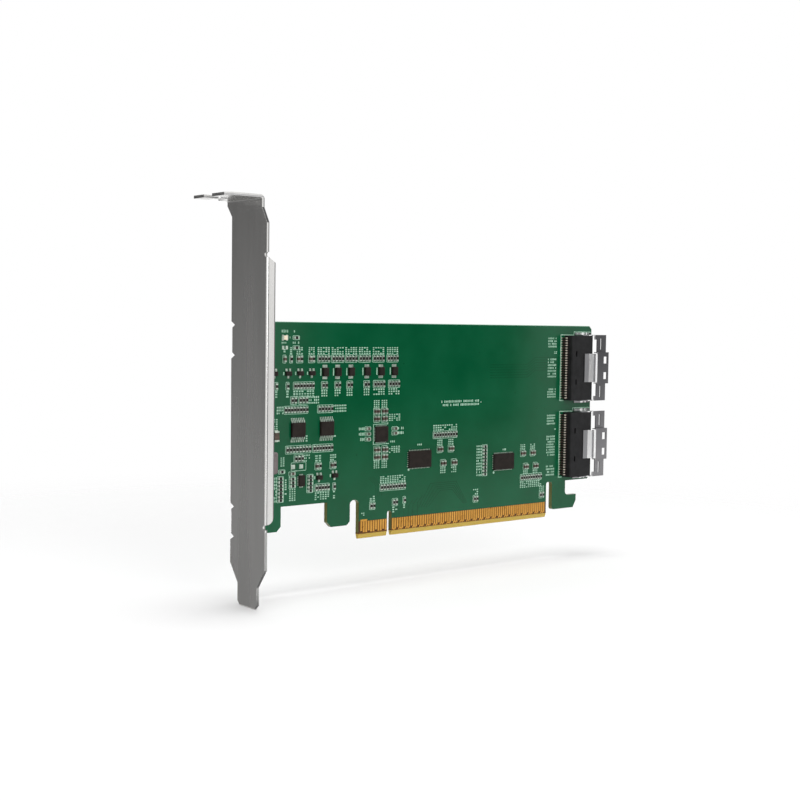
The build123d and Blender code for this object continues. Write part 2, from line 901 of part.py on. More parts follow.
def build_nodes():
    resistors = resistor_places()
    capacitors = capacitor_places()
    nodes = {
        "circuit_board": make_board(),
        "edge_contacts_front": make_contacts(-1),
        "edge_contacts_back": make_contacts(1),
        "bracket": make_bracket(),
        "bracket_screws": make_screws(),
        "chip_resistors": make_chip_bodies(resistors, resistor_height),
        "chip_resistor_caps": make_chip_caps(resistors, resistor_height),
        "chip_capacitors": make_chip_bodies(capacitors, capacitor_height),
        "chip_capacitor_caps": make_chip_caps(capacitors, capacitor_height),
        "logic_chips": make_logic_chips(),
        "logic_chip_leads": make_logic_leads(),
        "transistors": make_transistors(),
        "transistor_leads": make_transistor_leads(),
        "diodes": make_diodes(),
        "diode_tabs": make_diode_tabs(),
        "controller_chip": make_controller(),
        "driver_chip": make_driver(),
        "ceramic_capacitor": make_ceramic_body(),
        "ceramic_capacitor_caps": make_ceramic_caps(),
        "power_inductor": make_inductor(),
        "power_inductor_pads": make_inductor_pads(),
        "indicator_light": make_led(),
        "indicator_light_caps": make_led_caps(),
    }
    for name, centre in zip(("left", "right"), signal_centres):
        nodes[name + "_signal_chip"] = make_signal_chip(centre)
    for name, z in zip(("upper", "lower"), connector_centres):
        nodes[name + "_connector_housing"] = make_housing(z)
        nodes[name + "_connector_shell"] = make_shell(z)
        nodes[name + "_connector_tails"] = make_tails(z)
    return nodes


os.makedirs("parts", exist_ok=True)
for node_name, shape in build_nodes().items():
    export_step(shape, "parts/" + node_name + ".step")
    print(node_name, "solids", len(shape.solids()), "volume", round(shape.volume, 2))
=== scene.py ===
import json
import math
import random
from collections import namedtuple

import bmesh
import bpy
from mathutils import Matrix, Vector


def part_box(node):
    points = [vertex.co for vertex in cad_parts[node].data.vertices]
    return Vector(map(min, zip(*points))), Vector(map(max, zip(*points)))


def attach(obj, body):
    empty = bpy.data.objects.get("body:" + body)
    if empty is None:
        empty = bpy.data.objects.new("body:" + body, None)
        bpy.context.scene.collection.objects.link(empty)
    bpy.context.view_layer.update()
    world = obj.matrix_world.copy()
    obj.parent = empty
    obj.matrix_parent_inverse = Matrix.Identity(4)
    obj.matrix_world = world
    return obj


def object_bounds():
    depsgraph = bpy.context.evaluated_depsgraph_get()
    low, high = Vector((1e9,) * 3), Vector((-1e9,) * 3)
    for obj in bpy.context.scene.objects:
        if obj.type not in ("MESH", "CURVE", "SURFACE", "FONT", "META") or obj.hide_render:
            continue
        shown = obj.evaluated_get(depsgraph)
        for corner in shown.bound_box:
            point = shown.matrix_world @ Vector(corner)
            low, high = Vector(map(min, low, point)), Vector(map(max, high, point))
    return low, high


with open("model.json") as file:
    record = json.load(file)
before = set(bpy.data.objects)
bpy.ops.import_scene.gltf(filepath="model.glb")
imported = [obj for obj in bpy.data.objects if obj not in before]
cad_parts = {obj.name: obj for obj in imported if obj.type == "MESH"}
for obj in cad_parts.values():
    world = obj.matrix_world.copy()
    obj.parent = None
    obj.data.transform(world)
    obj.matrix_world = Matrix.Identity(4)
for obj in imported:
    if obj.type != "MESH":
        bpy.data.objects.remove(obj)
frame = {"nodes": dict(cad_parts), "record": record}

cad_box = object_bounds()
nodes = frame["nodes"]
MM = 0.001

# The board's two sides: the component side faces -Y
FRONT = -1
BACK = 1

# Board and edge connector, in millimetres as all measures of the pieces
board_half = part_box("circuit_board")[1][1] / MM
board_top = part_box("circuit_board")[1][2] / MM
mask_y = -board_half
tongue_left = -12.6
tongue_right = 72.6
key_half = 0.95
finger_top = 5.6
bevel_top = 1.5
bevel_line = 0.45

# How far print, copper, pads and solder stand proud of the board
print_height = 0.03
copper_height = 0.012
pad_height = 0.06
rim_height = 0.16
bead_height = 0.12
finger_bar_height = 0.05
finger_foot_height = 0.07
finger_band_height = 0.06

# Fine points of the shapes: rise of every second bar, merging distance and a disc's sides
line_step = 0.004
merge_distance = 0.001
disc_sides = 8

# Board finish: what lies deeper than the faces is laminate, and a painted highlight runs along the
# top edge
face_depth = 0.01
tongue_margin = 0.05
top_highlight_width = 0.2
layer_scale = 900
layer_waver = 1.5

# Unevenness that all finishes share
noise_detail = 4
noise_spread = (0.3, 0.7)
bump_depth = 0.05

# Where the other finishes change their tone: a glaze edge, and the places of painted highlights and
# painted shade
glaze_from = 0.43
first_slope = (89.3, 90.6)
second_slope = (91.65, 92.2)
latch_fade_top = 58.0
latch_fade_length = 40.0
sheared_band = (-58.5, -58.22)
sheet_band = (-59.0, -58.22)
tab_edge_band = (104.2, 104.55)
side_step_reach = (96.9, 101.4)
lower_edge_reach = (-16.0, 8.2)
near_side = -11.0
flange_edge = -56.3
knee_from = 1.75
knee_end = 80.0
foot_until = 0.35

# Chips in rows: their terminals, solder and shared outlines
group_gap = 0.45
terminal = 0.36
solder_reach = 0.18
solder_inset = 0.2
solder_climb = 0.7
outline_side = 0.28
outline_end = 0.5
outline_corner = 0.35
outline_width = 0.17

# Small print: bars in rows, drawn at random
mark_row = 1.0
mark_pitch = 0.66
mark_long_share = 0.58
mark_deep_share = (0.5, 0.72)
mark_blank = 0.1
chance = random.Random(7)

# Where a group's marks stand: a region in X and Z, the side of the group and their reach
label_rules = (
    (-44, 5, 54, 60, "above", 2.4),
    (-46, 5, 46.5, 52, "below", 2.3),
    (-36.3, -32, 42, 47, "right", 4.2),
    (-42, -32, 39.5, 44, "left", 2.6),
    (-30, -22, 39.5, 44, "right", 5.2),
    (-39, -33, 25, 29, "right", 2.4),
    (-31, -20, 22, 26, "above", 2.2),
    (-41, -36, 17, 23, "below", 4.0),
    (-31, -20, 15, 20, "below", 2.6),
    (-7.5, -4.1, 36, 43, "above", 2.4),
    (-4.1, 0, 36, 43, "above", 2.4),
    (-7.5, -4.1, 22, 30, "below", 2.4),
    (-4.1, 0, 22, 30, "below", 2.4),
    (-13.5, -7, 29, 37, "left", 2.4),
    (0, 6, 32, 36, "right", 2.6),
    (17, 30, 30, 34, "above", 2.2),
    (-5, 7, 14, 18, "above", 2.4),
    (19, 30, 25.5, 29, "above", 2.0),
    (19, 30, 20, 24, "below", 2.2),
    (58, 68, 22, 26, "above", 2.0),
    (58, 68, 17, 20.5, "below", 1.4),
    (-9, -6, 9, 12, "above", 2.0),
    (0, 8, 9, 13, "below", 2.2),
    (36, 40, 7, 11, "above", 2.2),
    (40, 44, 16, 28, "left", 2.6),
    (58, 71, 13, 17, "below", 2.4),
    (68, 72, 6, 10, "above", 2.0),
)

# Outlines and marks of the larger parts, each box as left, right, low and high
empty_place_outline = (-39.0, -33.3, 23.2, 25.9)
controller_outline = (-7.0, -0.7, 30.0, 36.4)
controller_tick = 0.4
controller_tick_rise = 0.5
controller_line = 0.24
polarity_reach = (0.75, 0.35)
polarity_inset = 0.2
first_pin_dots = ((7.9, 21.0), (46.4, 17.7))
dot_radius = 0.42
level_marks = (
    (-0.1, 2.0, 30.1, 31.1), (11.4, 13.6, 28.6, 29.5), (49.8, 52.2, 25.0, 26.0),
    (21.7, 39.0, 41.2, 43.5), (39.5, 40.3, 42.1, 42.7), (-42.9, -40.3, 65.4, 66.7),
    (-38.4, -36.6, 65.4, 66.6), (-42.9, -40.3, 62.1, 63.0), (-38.8, -36.2, 62.0, 63.1),
    (-39.9, -39.5, 63.7, 64.6), (-39.9, -39.5, 60.6, 61.5), (-45.4, -44.1, 13.9, 21.9),
)
turned_marks = (
    (-45.7, -43.9, 36.2, 39.6), (-43.0, -41.3, 24.8, 27.8), (-11.7, -10.2, 7.2, 8.4),
    (75.3, 76.9, 58.7, 59.8), (76.1, 77.1, 30.5, 32.0), (-0.8, 4.2, 37.2, 39.7),
    (-0.7, 4.2, 26.8, 29.2), (-41.4, -40.4, 16.1, 21.0), (-33.8, -32.7, 32.0, 34.2),
    (-22.9, -21.8, 32.3, 34.5),
)
connector_mark_sides = (72.2, 76.6)
connector_mark_rows = ((60.9, 64.8), (50.1, 57.3), (42.9, 46.5), (33.2, 37.1), (21.9, 29.5),
                       (14.7, 18.8))

# Outlines of the two cable connectors
connector_rows = ((41.9, 65.6), (14.0, 37.9))
tail_line_x = 78.8
tail_line_foot = 80.4
tail_line_head = 85.6
tail_line_width = 0.34
ledge_rise = 1.1
ledge_end = 94.5
ledge_width = 0.28

# Pads, rims and solder
empty_pads = ((-42.6, -41.8, 60.5, 61.6), (-41.3, -40.5, 60.5, 61.6),
              (-39.0, -37.5, 23.9, 25.2), (-35.9, -34.5, 23.9, 25.2))
rim_pitches = {"controller_chip": 0.5, "left_signal_chip": 0.65, "right_signal_chip": 0.65,
               "driver_chip": 0.5}
rim_margin = 0.4
rim_reach = 0.35
rim_under = 0.1
rim_half = 0.14
pad_side = 0.14
pad_end = 0.22
logic_middle = 37.5
lead_pad_below = 0.5
lead_pad_above = 0.35
bead_left = 0.12
bead_right = 0.4
shell_foot = 0.3
shell_foot_rise = 0.06
shell_foot_radius = 0.3
shell_foot_x = 87.0
shell_foot_pitch = 1.9
shell_foot_count = 4
shell_foot_below_top = 0.4

# Traces under the mask: points of the first, each point's step to the next, count and width
trace_runs = (
    (((12.5, 8.2), (17.5, 15.8), (29.0, 15.8), (34.0, 8.2)),
     ((1.1, 0), (1.1, -0.66), (-0.44, -0.66), (-0.44, 0)), 5, 0.28),
    (((-9.0, 19.4), (-5.7, 16.6), (-5.7, 13.2)), ((0.8, 0), (0.8, 0), (0.8, 0)), 4, 0.25),
    (((44.0, 50.6), (62.0, 50.6), (66.0, 53.0), (78.0, 53.0)),
     ((0, 0.9), (0, 0.9), (0, 0.9), (0, 0.9)), 6, 0.25),
    (((2.0, 6.0), (2.0, 7.4), (4.0, 9.4)), ((2.0, 0), (2.0, 0.5), (2.0, 0.5)), 6, 0.3),
)
hole_sides = (-50, 90)
hole_heights = (15, 66)
hole_radius = 0.28
front_holes = 24
front_seed = 3
back_holes = 150
back_seed = 11

# Edge contacts: the bar that joins the first three, and feet in the gaps of the long row
finger_bar = (-11.85, -9.15, 5.45, 6.1)
first_gap = 2.0
contact_pitch = 1.0
gap_count = 70
finger_foot_half = 0.2
finger_foot_reach = (0.1, 0.7)

# Camera, fitted to the photograph: place in millimetres and turns in degrees
camera_place = (-268.784, -331.24, 67.963)
camera_yaw = 39.528
camera_pitch = 3.202
camera_roll = 0.732
camera_lens = 59.33
camera_sensor = 36
camera_near = 0.01

# Studio, in metres
floor_z = cad_box[0][2]
floor_half = 3
floor_grey = 0.72
floor_glow = 0.12
floor_fade = (0.14, 0.34)
world_light = 0.62


def srgb(red, green, blue):
    """A colour given as 0 to 255, as the linear value that a shader takes."""
    def linear(value):
        share = value / 255
        return share / 12.92 if share <= 0.04045 else ((share + 0.055) / 1.055) ** 2.4
    return (linear(red), linear(green), linear(blue), 1)


# Colours of the regions inside a finish, among them painted highlights and painted shade
laminate_dark = srgb(76, 78, 40)
laminate_light = srgb(118, 122, 64)
bare_tongue = srgb(72, 38, 8)
# Painted highlight along the board's top edge
painted_top_highlight = srgb(110, 160, 134)
bevel_tone = srgb(189, 160, 70)
bevel_shade = srgb(96, 62, 22)
alumina = srgb(186, 192, 184)
# Painted highlight where the connector shell's strip climbs
painted_slope_highlight = srgb(250, 250, 250)
# Painted shade on the shell's latch plates, and the painted lighter tone it fades to lower down
painted_latch_shade = srgb(84, 84, 86)
painted_latch_light = srgb(136, 135, 137)
# Painted shade on the bracket's edges
painted_edge_shade = srgb(112, 112, 112)
# Painted shade on the tab's edges, lighter than on the other edges
painted_tab_edge_shade = srgb(178, 178, 178)
# Painted shade on the bracket's side step
painted_step_shade = srgb(88, 88, 88)
# Painted shade low on the bracket's near edge
painted_low_edge_shade = srgb(164, 164, 163)
# Painted highlight on the connector tails' knees and feet
painted_tin_highlight = srgb(214, 204, 190)


# Materials

def make_finish_group():
    """Two colours and two roughnesses mixed by a noise that may be stretched."""
    group = bpy.data.node_groups.new("uneven_finish", "ShaderNodeTree")
    face = group.interface
    for name, kind in (("Dark", "NodeSocketColor"), ("Light", "NodeSocketColor"),
                       ("Scale", "NodeSocketFloat"), ("Stretch", "NodeSocketVector"),
                       ("Smooth", "NodeSocketFloat"), ("Rough", "NodeSocketFloat")):
        face.new_socket(name, in_out="INPUT", socket_type=kind)
    for name, kind in (("Color", "NodeSocketColor"), ("Roughness", "NodeSocketFloat"),
                       ("Height", "NodeSocketFloat")):
        face.new_socket(name, in_out="OUTPUT", socket_type=kind)
    add = group.nodes.new
    link = group.links.new
    start = add("NodeGroupInput")
    end = add("NodeGroupOutput")
    coords = add("ShaderNodeTexCoord")
    mapping = add("ShaderNodeMapping")
    link(coords.outputs["Object"], mapping.inputs["Vector"])
    link(start.outputs["Stretch"], mapping.inputs["Scale"])
    noise = add("ShaderNodeTexNoise")
    noise.inputs["Detail"].default_value = noise_detail
    link(mapping.outputs["Vector"], noise.inputs["Vector"])
    link(start.outputs["Scale"], noise.inputs["Scale"])
    spread = add("ShaderNodeMapRange")
    spread.inputs["From Min"].default_value = noise_spread[0]
    spread.inputs["From Max"].default_value = noise_spread[1]
    link(noise.outputs["Fac"], spread.inputs["Value"])
    colour = add("ShaderNodeMix")
    colour.data_type = "RGBA"
    link(spread.outputs["Result"], colour.inputs["Factor"])
    link(start.outputs["Dark"], colour.inputs["A"])
    link(start.outputs["Light"], colour.inputs["B"])
    rough = add("ShaderNodeMix")
    link(spread.outputs["Result"], rough.inputs["Factor"])
    link(start.outputs["Smooth"], rough.inputs["A"])
    link(start.outputs["Rough"], rough.inputs["B"])
    link(colour.outputs["Result"], end.inputs["Color"])
    link(rough.outputs["Result"], end.inputs["Roughness"])
    link(noise.outputs["Fac"], end.inputs["Height"])
    return group


def finish(name, dark, light, grain, rough, metallic=0.0, stretch=(1, 1, 1), bump=0.1,
           specular=0.5):
    """A material whose colour, roughness and bump come from the uneven finish."""
    material = bpy.data.materials.new(name)
    material.use_nodes = True
    tree = material.node_tree
    shader = tree.nodes["Principled BSDF"]
    shader.inputs["Metallic"].default_value = metallic
    shader.inputs["Specular IOR Level"].default_value = specular
    uneven = tree.nodes.new("ShaderNodeGroup")
    uneven.node_tree = finish_group
    uneven.inputs["Dark"].default_value = dark
    uneven.inputs["Light"].default_value = light
    uneven.inputs["Scale"].default_value = grain
    uneven.inputs["Stretch"].default_value = stretch
    uneven.inputs["Smooth"].default_value = rough[0]
    uneven.inputs["Rough"].default_value = rough[1]
    height = tree.nodes.new("ShaderNodeBump")
    height.inputs["Strength"].default_value = bump
    height.inputs["Distance"].default_value = bump_depth * MM
    link = tree.links.new
    link(uneven.outputs["Color"], shader.inputs["Base Color"])
    link(uneven.outputs["Roughness"], shader.inputs["Roughness"])
    link(uneven.outputs["Height"], height.inputs["Height"])
    link(height.outputs["Normal"], shader.inputs["Normal"])
    return material


def number(tree, operation, first, second=0.0):
    """One sum or comparison, whose terms are sockets or plain numbers."""
    node = tree.nodes.new("ShaderNodeMath")
    node.operation = operation
    for socket, value in zip(node.inputs, (first, second)):
        if isinstance(value, (int, float)):
            socket.default_value = value
        else:
            tree.links.new(value, socket)
    return node.outputs["Value"]


def millimetres(tree):
    """Object coordinates as three numbers in millimetres."""
    coords = tree.nodes.new("ShaderNodeTexCoord")
    scale = tree.nodes.new("ShaderNodeVectorMath")
    scale.operation = "SCALE"
    scale.inputs["Scale"].default_value = 1 / MM
    tree.links.new(coords.outputs["Object"], scale.inputs[0])
    split = tree.nodes.new("ShaderNodeSeparateXYZ")
    tree.links.new(scale.outputs["Vector"], split.inputs["Vector"])
    return split.outputs


def between(tree, value, limits):
    """1 where a number lies between two limits, and 0 elsewhere."""
    above = number(tree, "GREATER_THAN", value, limits[0])
    return number(tree, "MULTIPLY", above, number(tree, "LESS_THAN", value, limits[1]))


def mix_colour(tree, factor, first, second):
    """A mix of two colours, each a socket or a fixed colour."""
    mix = tree.nodes.new("ShaderNodeMix")
    mix.data_type = "RGBA"
    tree.links.new(factor, mix.inputs["Factor"])
    for socket, value in ((mix.inputs["A"], first), (mix.inputs["B"], second)):
        if isinstance(value, tuple):
            socket.default_value = value
        else:
            tree.links.new(value, socket)
    return mix.outputs["Result"]


def paint(tree, mask, colour):
    """Mixes another colour into a surface: all of it where the mask is 1, none where it is 0."""
    base = tree.nodes["Principled BSDF"].inputs["Base Color"]
    tree.links.new(mix_colour(tree, mask, base.links[0].from_socket, colour), base)


def board_finish():
    """Green mask on both faces, bare laminate on the edges and between the fingers, and a painted
    highlight along the top edge.
    """
    surface = finish("board_mask_finish", srgb(0, 74, 43), srgb(5, 84, 52), grain=60,
                     rough=(0.16, 0.24), bump=0.03, specular=0.3)
    tree = surface.node_tree
    x, y, z = millimetres(tree)
    inside = number(tree, "LESS_THAN", number(tree, "ABSOLUTE", y), board_half - face_depth)
    sides = between(tree, x, (tongue_left - tongue_margin, tongue_right + tongue_margin))
    tongue = number(tree, "MULTIPLY", number(tree, "LESS_THAN", z, finger_top), sides)
    shaded = number(tree, "LESS_THAN", z, bevel_top + bevel_line)
    sloping = number(tree, "LESS_THAN", z, bevel_top)
    layers = tree.nodes.new("ShaderNodeTexWave")
    layers.bands_direction = "Y"
    layers.inputs["Scale"].default_value = layer_scale
    layers.inputs["Distortion"].default_value = layer_waver
    coords = tree.nodes.new("ShaderNodeTexCoord")
    tree.links.new(coords.outputs["Object"], layers.inputs["Vector"])
    paint(tree, tongue, bare_tongue)
    # Painted highlight along the top edge of the board
    paint(tree, number(tree, "GREATER_THAN", z, board_top - top_highlight_width), painted_top_highlight)
    paint(tree, inside, mix_colour(tree, layers.outputs["Fac"], laminate_dark, laminate_light))
    paint(tree, number(tree, "MULTIPLY", tongue, shaded), bevel_shade)
    paint(tree, number(tree, "MULTIPLY", tongue, sloping), bevel_tone)
    return surface


def resistor_finish():
    """Black glaze on top of a pale ceramic body, whose sides stay pale."""
    surface = finish("resistor_body_finish", srgb(20, 17, 17), srgb(36, 30, 28), grain=900,
                     rough=(0.4, 0.55), specular=0.2)
    tree = surface.node_tree
    depth = millimetres(tree)["Y"]
    paint(tree, number(tree, "GREATER_THAN", depth, mask_y - glaze_from), alumina)
    return surface


def shell_finish():
    """Stamped steel with painted highlights where the strip climbs, and painted shade on the latch
    plates that lightens downwards.
    """
    surface = finish("shell_steel_finish", srgb(132, 132, 134), srgb(156, 156, 158), grain=260,
                     rough=(0.28, 0.4), metallic=1.0, stretch=(1, 1, 0.15))
    tree = surface.node_tree
    axes = millimetres(tree)
    latch = number(tree, "GREATER_THAN", axes["X"], second_slope[1])
    fall = number(tree, "MULTIPLY", axes["Z"], -1 / latch_fade_length)
    down = number(tree, "ADD", fall, latch_fade_top / latch_fade_length)
    # Painted highlights on the two climbs of the strip
    paint(tree, between(tree, axes["X"], first_slope), painted_slope_highlight)
    paint(tree, between(tree, axes["X"], second_slope), painted_slope_highlight)
    # Painted shade on the latch plates, lighter lower down
    paint(tree, latch, painted_latch_shade)
    paint(tree, number(tree, "MULTIPLY", down, latch), painted_latch_light)
    return surface


def bracket_finish():
    """Satin plated sheet, with painted shade on its edges: the inner half of its sheared edges, the
    tab's edges, the side step, the lower near edge and the flange tip.
    """
    surface = finish("bracket_steel_finish", srgb(208, 207, 205), srgb(221, 220, 218), grain=160,
                     rough=(0.22, 0.3), metallic=1.0, stretch=(1, 1, 0.1), bump=0.05)
    tree = surface.node_tree
    x, y, z = millimetres(tree)
    near = number(tree, "LESS_THAN", y, near_side)
    near_sheet = number(tree, "MULTIPLY", near, between(tree, x, sheet_band))
    flange_tip = number(tree, "MULTIPLY", near, number(tree, "GREATER_THAN", x, flange_edge))
    side_step = number(tree, "MULTIPLY", near_sheet, between(tree, z, side_step_reach))
    lower_edge = number(tree, "MULTIPLY", near_sheet, between(tree, z, lower_edge_reach))
    # Painted shade on the bracket's edges, the tab's edges, the side step, the lower near edge and
    # the flange tip
    paint(tree, between(tree, x, sheared_band), painted_edge_shade)
    paint(tree, between(tree, z, tab_edge_band), painted_tab_edge_shade)
    paint(tree, side_step, painted_step_shade)
    paint(tree, lower_edge, painted_low_edge_shade)
    paint(tree, flange_tip, painted_edge_shade)
    return surface


def tail_finish():
    """Tails that are dark along their legs, with painted highlights at the knee and the foot."""
    surface = finish("tail_tin_finish", srgb(46, 38, 32), srgb(74, 62, 52), grain=900,
                     rough=(0.3, 0.45), metallic=0.3)
    tree = surface.node_tree
    axes = millimetres(tree)
    outer = number(tree, "LESS_THAN", axes["X"], knee_end)
    knee = number(tree, "LESS_THAN", axes["Y"], mask_y - knee_from)
    foot = number(tree, "GREATER_THAN", axes["Y"], mask_y - foot_until)
    # Painted highlights at the knee and the foot
    paint(tree, number(tree, "MULTIPLY", knee, outer), painted_tin_highlight)
    paint(tree, number(tree, "MULTIPLY", foot, outer), painted_tin_highlight)
    return surface


finish_group = make_finish_group()
finishes = {
    "board_mask": board_finish(),
    "contact_gold": finish("contact_gold_finish", srgb(198, 141, 55), srgb(217, 161, 73),
                           grain=300, rough=(0.25, 0.4), metallic=0.7),
    "bracket_steel": bracket_finish(),
    "screw_steel": finish("screw_steel_finish", srgb(168, 168, 170), srgb(198, 198, 200),
                          grain=400, rough=(0.25, 0.38), metallic=1.0),
    "resistor_body": resistor_finish(),
    "solder_tin": finish("solder_tin_finish", srgb(158, 174, 162), srgb(208, 222, 208),
                         grain=900, rough=(0.3, 0.45), metallic=0.6),
    "capacitor_body": finish("capacitor_body_finish", srgb(64, 55, 49), srgb(94, 81, 72),
                             grain=900, rough=(0.4, 0.55), specular=0.2),
    "chip_mould": finish("chip_mould_finish", srgb(30, 26, 23), srgb(42, 36, 33),
                         grain=700, rough=(0.5, 0.65), bump=0.25, specular=0.12),
    "inductor_body": finish("inductor_body_finish", srgb(106, 98, 98), srgb(124, 116, 115),
                            grain=900, rough=(0.5, 0.7), bump=0.5, specular=0.2),
    "lamp_body": finish("lamp_body_finish", srgb(226, 210, 180), srgb(244, 232, 208),
                        grain=500, rough=(0.25, 0.4)),
    "housing_plastic": finish("housing_plastic_finish", srgb(28, 28, 29), srgb(40, 40, 41),
                              grain=500, rough=(0.42, 0.58), bump=0.2, specular=0.12),
    "shell_steel": shell_finish(),
    "print": finish("print_finish", srgb(134, 178, 152), srgb(172, 208, 186),
                    grain=700, rough=(0.5, 0.7), specular=0.3),
    "trace": finish("trace_finish", srgb(0, 67, 38), srgb(3, 76, 46),
                    grain=90, rough=(0.16, 0.24), specular=0.3),
    "bevel_band": finish("bevel_band_finish", srgb(92, 58, 20), srgb(122, 80, 30),
                         grain=400, rough=(0.4, 0.6), specular=0.2),
    "tail_tin": tail_finish(),
}

for part in frame["record"]["subparts"]:
    target = nodes[part["node"]]
    target.data.materials.clear()
    target.data.materials.append(finishes[part["material_slot"]])


# Shapes on the board

def new_piece(name, shape, material):
    """A shape in millimetres as an object at the origin that rides with the card."""
    bmesh.ops.scale(shape, vec=(MM, MM, MM), verts=shape.verts)
    mesh = bpy.data.meshes.new(name)
    shape.to_mesh(mesh)
    shape.free()
    mesh.materials.append(finishes[material])
    piece = bpy.data.objects.new(name, mesh)
    bpy.context.scene.collection.objects.link(piece)
    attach(piece, "root")


def add_block(shape, box, bottom, top, side=FRONT, turn=0.0):
    """A block on the board: box in X and Z, bottom and top measured out from the mask."""
    x0, x1, z0, z1 = box
    middle = side * (board_half + (bottom + top) / 2)
    place = Matrix.Translation(((x0 + x1) / 2, middle, (z0 + z1) / 2))
    size = Matrix.Diagonal((x1 - x0, top - bottom, z1 - z0, 1))
    matrix = place @ Matrix.Rotation(turn, 4, "Y") @ size
    return bmesh.ops.create_cube(shape, size=1, matrix=matrix)["verts"]


def add_line(shape, points, width, height, side=FRONT):
    """A printed or etched line: bars from point to point, every second one a hair higher."""
    for index, (start, end) in enumerate(zip(points, points[1:])):
        across, up = end[0] - start[0], end[1] - start[1]
        half = (math.hypot(across, up) + width) / 2
        x, z = (start[0] + end[0]) / 2, (start[1] + end[1]) / 2
        add_block(shape, (x - half, x + half, z - width / 2, z + width / 2), 0,
                  height + index % 2 * line_step, side, -math.atan2(up, across))


def add_frame(shape, box, corner, width):
    """A printed line round a place, with rounded corners."""
    x0, x1, z0, z1 = box
    ring = bmesh.new()
    bmesh.ops.create_grid(ring, x_segments=1, y_segments=1, size=0.5,
                          matrix=Matrix.Diagonal((x1 - x0, z1 - z0, 1, 1)))
    bmesh.ops.bevel(ring, geom=ring.verts[:], offset=corner, offset_type="OFFSET", segments=2,
                    profile=0.5, affect="VERTICES", material=-1)
    inner = ring.faces[:]
    bmesh.ops.inset_region(ring, faces=inner, thickness=width, use_boundary=True,
                           use_even_offset=True)
    bmesh.ops.delete(ring, geom=inner, context="FACES_ONLY")
    walls = bmesh.ops.extrude_face_region(ring, geom=ring.faces[:])["geom"]
    raised = [part for part in walls if isinstance(part, bmesh.types.BMVert)]
    bmesh.ops.translate(ring, verts=raised, vec=(0, 0, print_height))
    bmesh.ops.recalc_face_normals(ring, faces=ring.faces[:])
    place = Matrix.Translation(((x0 + x1) / 2, mask_y, (z0 + z1) / 2))
    bmesh.ops.transform(ring, matrix=place @ Matrix.Rotation(math.pi / 2, 4, "X"), verts=ring.verts)
    carrier = bpy.data.meshes.new("carrier")
    ring.to_mesh(carrier)
    ring.free()
    shape.from_mesh(carrier)
    bpy.data.meshes.remove(carrier)


def add_disc(shape, x, z, radius, bottom, top, side=FRONT):
    """A round pad or dot on the board."""
    place = Matrix.Translation((x, side * (board_half + (bottom + top) / 2), z))
    bmesh.ops.create_cone(shape, cap_ends=True, segments=disc_sides, radius1=radius,
                          radius2=radius, depth=top - bottom,
                          matrix=place @ Matrix.Rotation(math.pi / 2, 4, "X"))


Reach = namedtuple("Reach", "left right low high height upright")


def solids_of(name):
    """The reach in X and Z of each separate solid of a node, and how high it stands."""
    shape = bmesh.new()
    shape.from_mesh(nodes[name].data)
    bmesh.ops.remove_doubles(shape, verts=shape.verts, dist=merge_distance * MM)
    left = set(shape.verts)
    solids = []
    for seed in shape.verts:
        if seed not in left:
            continue
        left.remove(seed)
        group = [seed]
        for vert in group:
            for edge in vert.link_edges:
                other = edge.other_vert(vert)
                if other in left:
                    left.remove(other)
                    group.append(other)
        xs = [vert.co.x / MM for vert in group]
        zs = [vert.co.z / MM for vert in group]
        height = max(-vert.co.y / MM for vert in group) - board_half
        upright = max(zs) - min(zs) > max(xs) - min(xs)
        solids.append(Reach(min(xs), max(xs), min(zs), max(zs), height, upright))
    shape.free()
    return solids


def middle_of(box):
    """The middle of a box or a solid, in X and Z."""
    return (box[0] + box[1]) / 2, (box[2] + box[3]) / 2


def add_marks(shape, box, turned=False):
    """Small print as short bars in rows; turned print has its rows side by side along X."""
    x0, x1, z0, z1 = box
    depth, run = (x1 - x0, z1 - z0) if turned else (z1 - z0, x1 - x0)
    rows = max(1, round(depth / mark_row))
    count = max(1, round(run / mark_pitch))
    long = run / count * mark_long_share
    for row in range(rows):
        for place in range(count):
            if chance.random() < mark_blank:
                continue
            deep = depth / rows * chance.uniform(*mark_deep_share)
            at_depth, at_run = (row + 0.5) * depth / rows, (place + 0.5) * run / count
            if turned:
                x, z, wide, tall = x0 + at_depth, z0 + at_run, deep, long
            else:
                x, z, wide, tall = x0 + at_run, z0 + at_depth, long, deep
            bar = (x - wide / 2, x + wide / 2, z - tall / 2, z + tall / 2)
            add_block(shape, bar, 0, print_height)


# Chips in rows

def with_terminals(body):
    """A chip's whole reach, with the terminal at each of its ends."""
    if body.upright:
        return body._replace(low=body.low - terminal, high=body.high + terminal)
    return body._replace(left=body.left - terminal, right=body.right + terminal)


def side_by_side(first, second):
    """Whether two chips stand close enough to share an outline."""
    return (first.left - second.right < group_gap and second.left - first.right < group_gap
            and first.low - second.high < group_gap and second.low - first.high < group_gap)


def groups_of(chips):
    """Chips that stand side by side, gathered into groups that share one outline."""
    groups = []
    for chip in sorted(chips):
        near = [group for group in groups if any(side_by_side(chip, other) for other in group)]
        merged = [chip]
        for group in near:
            merged += group
            groups.remove(group)
        groups.append(merged)
    return groups


def add_solder(shape, chip):
    """A pad and a sloping fillet of solder beyond both ends of a chip."""
    top = chip.height * solder_climb
    axis = 2 if chip.upright else 0
    ends = (chip.low, chip.high) if chip.upright else (chip.left, chip.right)
    for side, edge in zip((-1, 1), ends):
        reach = sorted((edge, edge + side * solder_reach))
        if chip.upright:
            box = (chip.left + solder_inset, chip.right - solder_inset, *reach)
        else:
            box = (*reach, chip.low + solder_inset, chip.high - solder_inset)
        verts = add_block(shape, box, 0, top)
        middle = sum(reach) / 2
        outer = [vert for vert in verts if side * (vert.co[axis] - middle) > 0
                 and vert.co.y < mask_y - pad_height]
        bmesh.ops.translate(shape, verts=outer, vec=(0, top - pad_height, 0))


